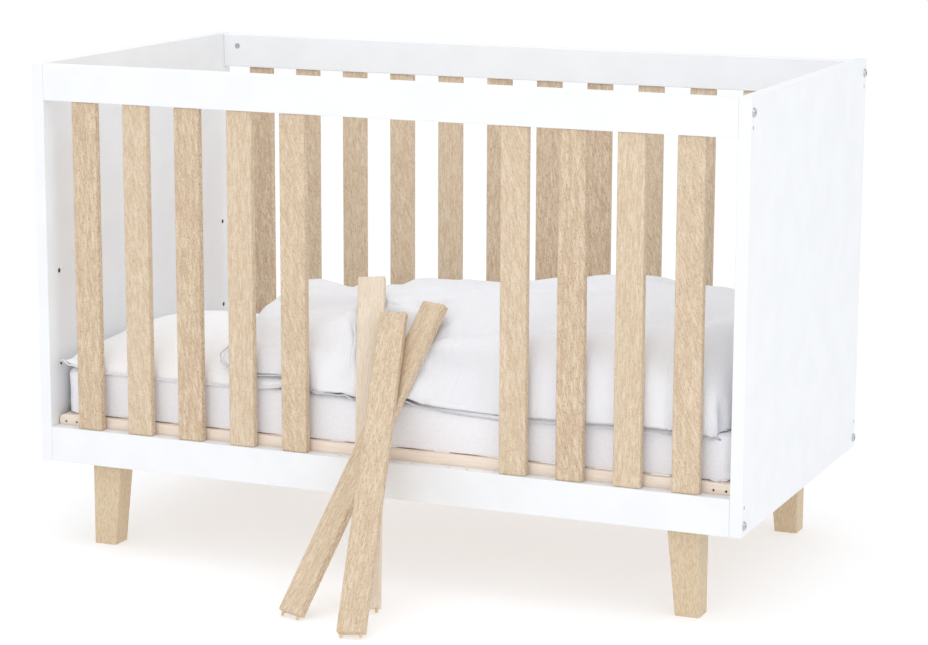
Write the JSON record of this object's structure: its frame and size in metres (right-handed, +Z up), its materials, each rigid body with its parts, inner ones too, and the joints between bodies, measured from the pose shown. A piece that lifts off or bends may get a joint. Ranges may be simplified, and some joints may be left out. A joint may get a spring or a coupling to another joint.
{
  "type": "baby crib",
  "caption": "Baby crib with solid white end panels, oak slat sides with take-out slats, tapered oak legs, height-adjustable slatted base, mattress, pillow and duvet.",
  "frame": {"origin": "on the floor under the crib's centre", "axes": "+X along the crib to the right end panel, +Y from the front side (with the take-out slats) to the back side, +Z up"},
  "size_m": [1.4572, 1.0994, 0.963],
  "materials": {
    "white_lacquer": "white matt lacquer on board",
    "oak_decor": "light sawn oak decor foil on board",
    "beech_dowel": "plain beech",
    "nylon": "moulded",
    "spring_steel": "drawn wire",
    "solid_oak": "oiled solid oak",
    "pine": "planed pine",
    "zinc_plated_steel": "bright zinc plated",
    "black_steel": "black oxide",
    "mattress_sheet": "jersey fitted sheet",
    "pillow_cotton": "woven cotton",
    "duvet_cotton": "woven cotton"
  },
  "bodies": {
    "crib_frame": {"left_end_panel": "white_lacquer", "right_end_panel": "white_lacquer", "front_top_rail": "white_lacquer", "front_bottom_rail": "white_lacquer", "back_top_rail": "white_lacquer", "back_bottom_rail": "white_lacquer", "front_slat_1": "oak_decor", "front_slat_2": "oak_decor", "front_slat_3": "oak_decor", "front_slat_4": "oak_decor", "front_slat_5": "oak_decor", "front_slat_9": "oak_decor", "front_slat_10": "oak_decor", "front_slat_11": "oak_decor", "front_slat_12": "oak_decor", "back_slat_1": "oak_decor", "back_slat_2": "oak_decor", "back_slat_3": "oak_decor", "back_slat_4": "oak_decor", "back_slat_5": "oak_decor", "back_slat_6": "oak_decor", "back_slat_7": "oak_decor", "back_slat_8": "oak_decor", "back_slat_9": "oak_decor", "back_slat_10": "oak_decor", "back_slat_11": "oak_decor", "back_slat_12": "oak_decor", "left_front_leg": "solid_oak", "right_front_leg": "solid_oak", "left_back_leg": "solid_oak", "right_back_leg": "solid_oak", "left_leg_brace": "pine", "right_leg_brace": "pine", "corner_bolts_and_nuts": "zinc_plated_steel", "leg_bolts": "zinc_plated_steel", "leg_brackets": "zinc_plated_steel", "base_pegs_and_inserts": "zinc_plated_steel", "slat_and_rail_dowels": "beech_dowel", "latch_spring_6": "spring_steel", "latch_spring_7": "spring_steel", "latch_spring_8": "spring_steel"},
    "slatted_base": {"front_base_beam": "pine", "back_base_beam": "pine", "left_base_crossbar": "pine", "right_base_crossbar": "pine", "base_laths": "pine", "base_screws": "black_steel"},
    "bedding": {"mattress": "mattress_sheet", "pillow": "pillow_cotton", "duvet": "duvet_cotton"},
    "takeout_slat_6": {"takeout_slat_6": "oak_decor", "takeout_slat_pins_6": "beech_dowel"},
    "latch_6": {"latch_plunger_6": "nylon"},
    "takeout_slat_7": {"takeout_slat_7": "oak_decor", "takeout_slat_pins_7": "beech_dowel"},
    "latch_7": {"latch_plunger_7": "nylon"},
    "takeout_slat_8": {"takeout_slat_8": "oak_decor", "takeout_slat_pins_8": "beech_dowel"},
    "latch_8": {"latch_plunger_8": "nylon"}
  },
  "joints": [
    {"name": "base_height", "type": "slide", "parent": "crib_frame", "child": "slatted_base", "axis": [0, 0, 1], "range_m": [0, 0.316]},
    {"name": "mattress_lift", "type": "slide", "parent": "slatted_base", "child": "bedding", "axis": [0, 0, 1], "range_m": [0, 0.1]},
    {"name": "takeout_slat_6_lift", "type": "slide", "parent": "bedding", "child": "takeout_slat_6", "axis": [0.1822, 0.5849, 0.7904], "range_m": [0, 1.25]},
    {"name": "takeout_slat_7_lift", "type": "slide", "parent": "bedding", "child": "takeout_slat_7", "axis": [-0.2079, 0.4891, 0.8471], "range_m": [0, 1.25]},
    {"name": "takeout_slat_8_lift", "type": "slide", "parent": "bedding", "child": "takeout_slat_8", "axis": [-0.1564, 0.6269, 0.7632], "range_m": [0, 1.25]},
    {"name": "latch_6_press", "type": "slide", "parent": "crib_frame", "child": "latch_6", "axis": [0, 0, 1], "range_m": [0, 0.012], "stiffness_N_per_m": 250, "springref_m": -0.01, "deforming": ["latch_spring_6"]},
    {"name": "latch_7_press", "type": "slide", "parent": "crib_frame", "child": "latch_7", "axis": [0, 0, 1], "range_m": [0, 0.012], "stiffness_N_per_m": 250, "springref_m": -0.01, "deforming": ["latch_spring_7"]},
    {"name": "latch_8_press", "type": "slide", "parent": "crib_frame", "child": "latch_8", "axis": [0, 0, 1], "range_m": [0, 0.012], "stiffness_N_per_m": 250, "springref_m": -0.01, "deforming": ["latch_spring_8"]}
  ]
}
